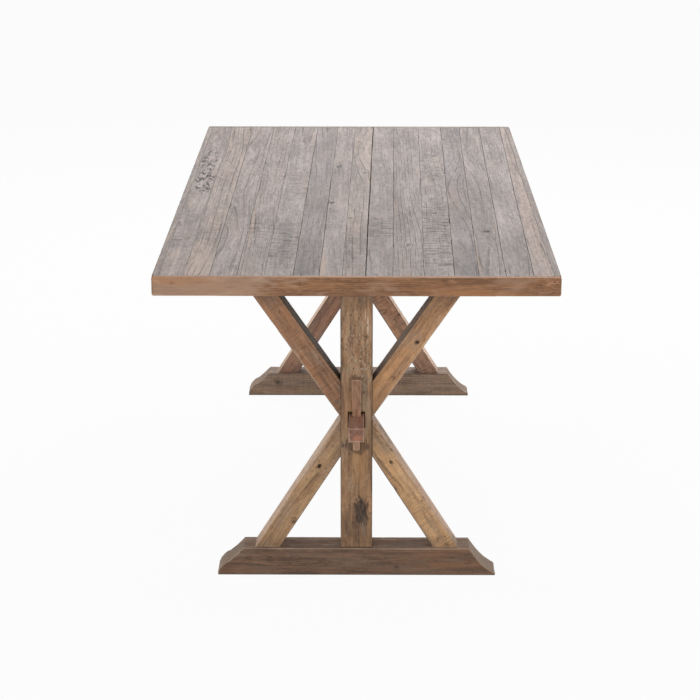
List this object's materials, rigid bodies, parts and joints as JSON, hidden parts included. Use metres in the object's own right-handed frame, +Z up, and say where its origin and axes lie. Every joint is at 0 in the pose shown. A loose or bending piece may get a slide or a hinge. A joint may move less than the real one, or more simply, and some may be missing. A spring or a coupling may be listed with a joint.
{
  "type": "trestle dining table",
  "caption": "Rustic sawbuck dining table: planked, banded top on two cross-braced trestles, tied by a stretcher whose through tenons are locked by removable wedges.",
  "frame": {"origin": "on the floor, at the middle of the footprint of the whole table", "axes": "+Z up, the length along Y, the width along X; the front end is at -Y"},
  "size_m": [0.9, 1.8, 0.77],
  "materials": {
    "top_boards": "weathered grey, sanded, dull oil",
    "edge_band": "warm brown, oiled face, grey top edge",
    "trestle_wood": "mid brown, dull wax",
    "brace_wood": "warm brown, dull wax",
    "foot_wood": "dark brown, worn ends",
    "wedge_wood": "pinkish brown, dull wax",
    "batten_wood": "unfinished sawn pine",
    "dowel_wood": "plain beech",
    "screw_steel": "zinc-plated steel"
  },
  "bodies": {
    "table": {"band_front": "edge_band", "band_left": "edge_band", "band_rear": "edge_band", "band_right": "edge_band", "batten_middle": "batten_wood", "batten_screws": "screw_steel", "bearer_front": "trestle_wood", "bearer_rear": "trestle_wood", "bearer_screws": "screw_steel", "brace_dowels": "dowel_wood", "brace_front_lower_left": "brace_wood", "brace_front_lower_right": "brace_wood", "brace_front_upper_left": "brace_wood", "brace_front_upper_right": "brace_wood", "brace_rear_lower_left": "brace_wood", "brace_rear_lower_right": "brace_wood", "brace_rear_upper_left": "brace_wood", "brace_rear_upper_right": "brace_wood", "foot_front": "foot_wood", "foot_rear": "foot_wood", "post_front": "trestle_wood", "post_rear": "trestle_wood", "stretcher": "trestle_wood", "top_board_01": "top_boards", "top_board_02": "top_boards", "top_board_03": "top_boards", "top_board_04": "top_boards", "top_board_05": "top_boards", "top_board_06": "top_boards", "top_board_07": "top_boards", "top_board_08": "top_boards", "top_board_09": "top_boards", "top_board_10": "top_boards", "top_board_11": "top_boards", "top_board_12": "top_boards", "top_board_13": "top_boards", "top_board_14": "top_boards", "top_board_15": "top_boards"},
    "wedge_front": {"wedge_front": "wedge_wood"},
    "wedge_rear": {"wedge_rear": "wedge_wood"}
  },
  "joints": [
    {"name": "wedge_front_lift", "type": "slide", "parent": "table", "child": "wedge_front", "axis": [0, 0, 1], "range_m": [0, 0.1]},
    {"name": "wedge_rear_lift", "type": "slide", "parent": "table", "child": "wedge_rear", "axis": [0, 0, 1], "range_m": [0, 0.1]}
  ]
}
